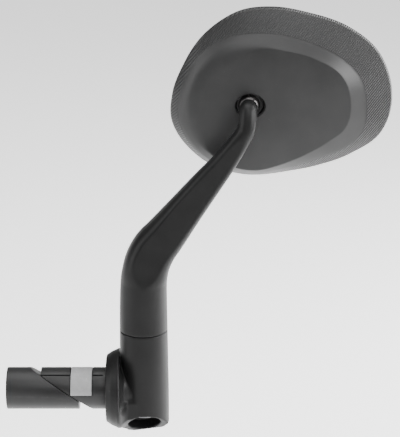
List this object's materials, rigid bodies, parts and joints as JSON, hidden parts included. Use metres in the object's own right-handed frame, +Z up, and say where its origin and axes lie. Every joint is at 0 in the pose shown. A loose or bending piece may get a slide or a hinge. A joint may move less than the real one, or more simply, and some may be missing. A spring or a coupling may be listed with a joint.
{
  "type": "bar-end bicycle mirror",
  "caption": "Rear-view bicycle mirror with an expanding handlebar plug, a turning base, a slim cranked arm and an oval ball-jointed head.",
  "frame": {"origin": "on the plug's axis, at the collar face that seats on the end of the handlebar", "axes": "+X out of the bar along the plug, +Y towards the rider, +Z up along the base tube"},
  "size_m": [0.1543, 0.0496, 0.172],
  "materials": {
    "arm_plastic": "fine moulded satin, charcoal black",
    "housing_plastic": "fine matt grain with moulded diagonal ribs round the rim",
    "plug_plastic": "moulded satin, dark grey",
    "band_grey": "satin mid grey",
    "rubber": "matt black rubber",
    "steel": "blackened machined steel",
    "stud_metal": "dark anodised, fine turned lines",
    "brass": "turned",
    "nylon": "black nylon",
    "foam": "closed-cell foam tape",
    "mirror": "silvered convex glass"
  },
  "bodies": {
    "plug": {"expander_sleeve": "plug_plastic", "retaining_band": "band_grey", "spigot_seal": "rubber", "bolt_washer": "steel"},
    "bolt": {"expander_bolt": "steel"},
    "nut": {"wedge_nut": "steel"},
    "wedge": {"expander_wedge": "plug_plastic"},
    "base": {"base_body": "arm_plastic", "slip_washer": "nylon"},
    "clamp_slider": {"clamp_pad": "brass"},
    "clamp_set_screw": {"clamp_screw": "steel"},
    "swivel_slider": {"swivel_pad": "brass"},
    "swivel_set_screw": {"swivel_screw": "steel"},
    "arm": {"arm_body": "arm_plastic", "arm_pivot": "steel", "pivot_friction_ring": "rubber", "ball_stud": "stud_metal"},
    "roll_seat": {"front_seat": "nylon"},
    "pan_seat": {"rear_seat": "nylon"},
    "head": {"rear_housing": "housing_plastic", "socket_retainer": "housing_plastic", "pressure_spring": "steel", "retainer_screw_1": "steel", "retainer_screw_2": "steel", "retainer_screw_3": "steel", "glass_carrier": "housing_plastic", "adhesive_pad": "foam", "mirror_glass": "mirror", "glass_gasket": "rubber"}
  },
  "joints": [
    {"name": "base_roll", "type": "hinge", "parent": "plug", "child": "base", "pos_m": [0, 0, 0], "axis": [1, 0, 0], "continuous": true},
    {"name": "arm_swivel", "type": "hinge", "parent": "base", "child": "arm", "pos_m": [0.0153, 0, 0.026], "axis": [0, 0, 1], "continuous": true},
    {"name": "head_roll", "type": "hinge", "parent": "arm", "child": "roll_seat", "pos_m": [0.0575, 0.0174, 0.1154], "axis": [0.0698, 0.9976, 0], "range_deg": [-40, 40]},
    {"name": "head_pan", "type": "hinge", "parent": "roll_seat", "child": "pan_seat", "pos_m": [0.0575, 0.0174, 0.1154], "axis": [0, 0, 1], "range_deg": [-10, 10]},
    {"name": "head_tilt", "type": "hinge", "parent": "pan_seat", "child": "head", "pos_m": [0.0575, 0.0174, 0.1154], "axis": [1, 0, 0], "range_deg": [-6, 6]},
    {"name": "nut_travel", "type": "slide", "parent": "plug", "child": "nut", "axis": [1, 0, 0], "range_m": [0, 0.0024]},
    {"name": "bolt_turn", "type": "hinge", "parent": "plug", "child": "bolt", "pos_m": [0, 0, 0], "axis": [-1, 0, 0], "range_deg": [0, 1080]},
    {"name": "wedge_slide", "type": "slide", "parent": "plug", "child": "wedge", "axis": [0.829, -0.1728, -0.5318], "range_m": [0, 0.0029]},
    {"name": "clamp_travel", "type": "slide", "parent": "base", "child": "clamp_slider", "axis": [0, -0.2119, -0.9773], "range_m": [0, 0.00125]},
    {"name": "clamp_turn", "type": "hinge", "parent": "clamp_slider", "child": "clamp_set_screw", "pos_m": [0.0153, 0, 0], "axis": [0, -0.2119, -0.9773], "range_deg": [0, 360]},
    {"name": "swivel_travel", "type": "slide", "parent": "base", "child": "swivel_slider", "axis": [0, 1, 0], "range_m": [0, 0.0016]},
    {"name": "swivel_turn", "type": "hinge", "parent": "swivel_slider", "child": "swivel_set_screw", "pos_m": [0.0153, 0, 0.016], "axis": [0, 1, 0], "range_deg": [0, 720]}
  ],
  "couplings": [
    {"joint": "bolt_turn", "follows": "nut_travel", "rad_per_m": 7854},
    {"joint": "wedge_slide", "follows": "nut_travel", "ratio": 1.2062},
    {"joint": "clamp_turn", "follows": "clamp_travel", "rad_per_m": 5026.5},
    {"joint": "swivel_turn", "follows": "swivel_travel", "rad_per_m": 7854}
  ]
}
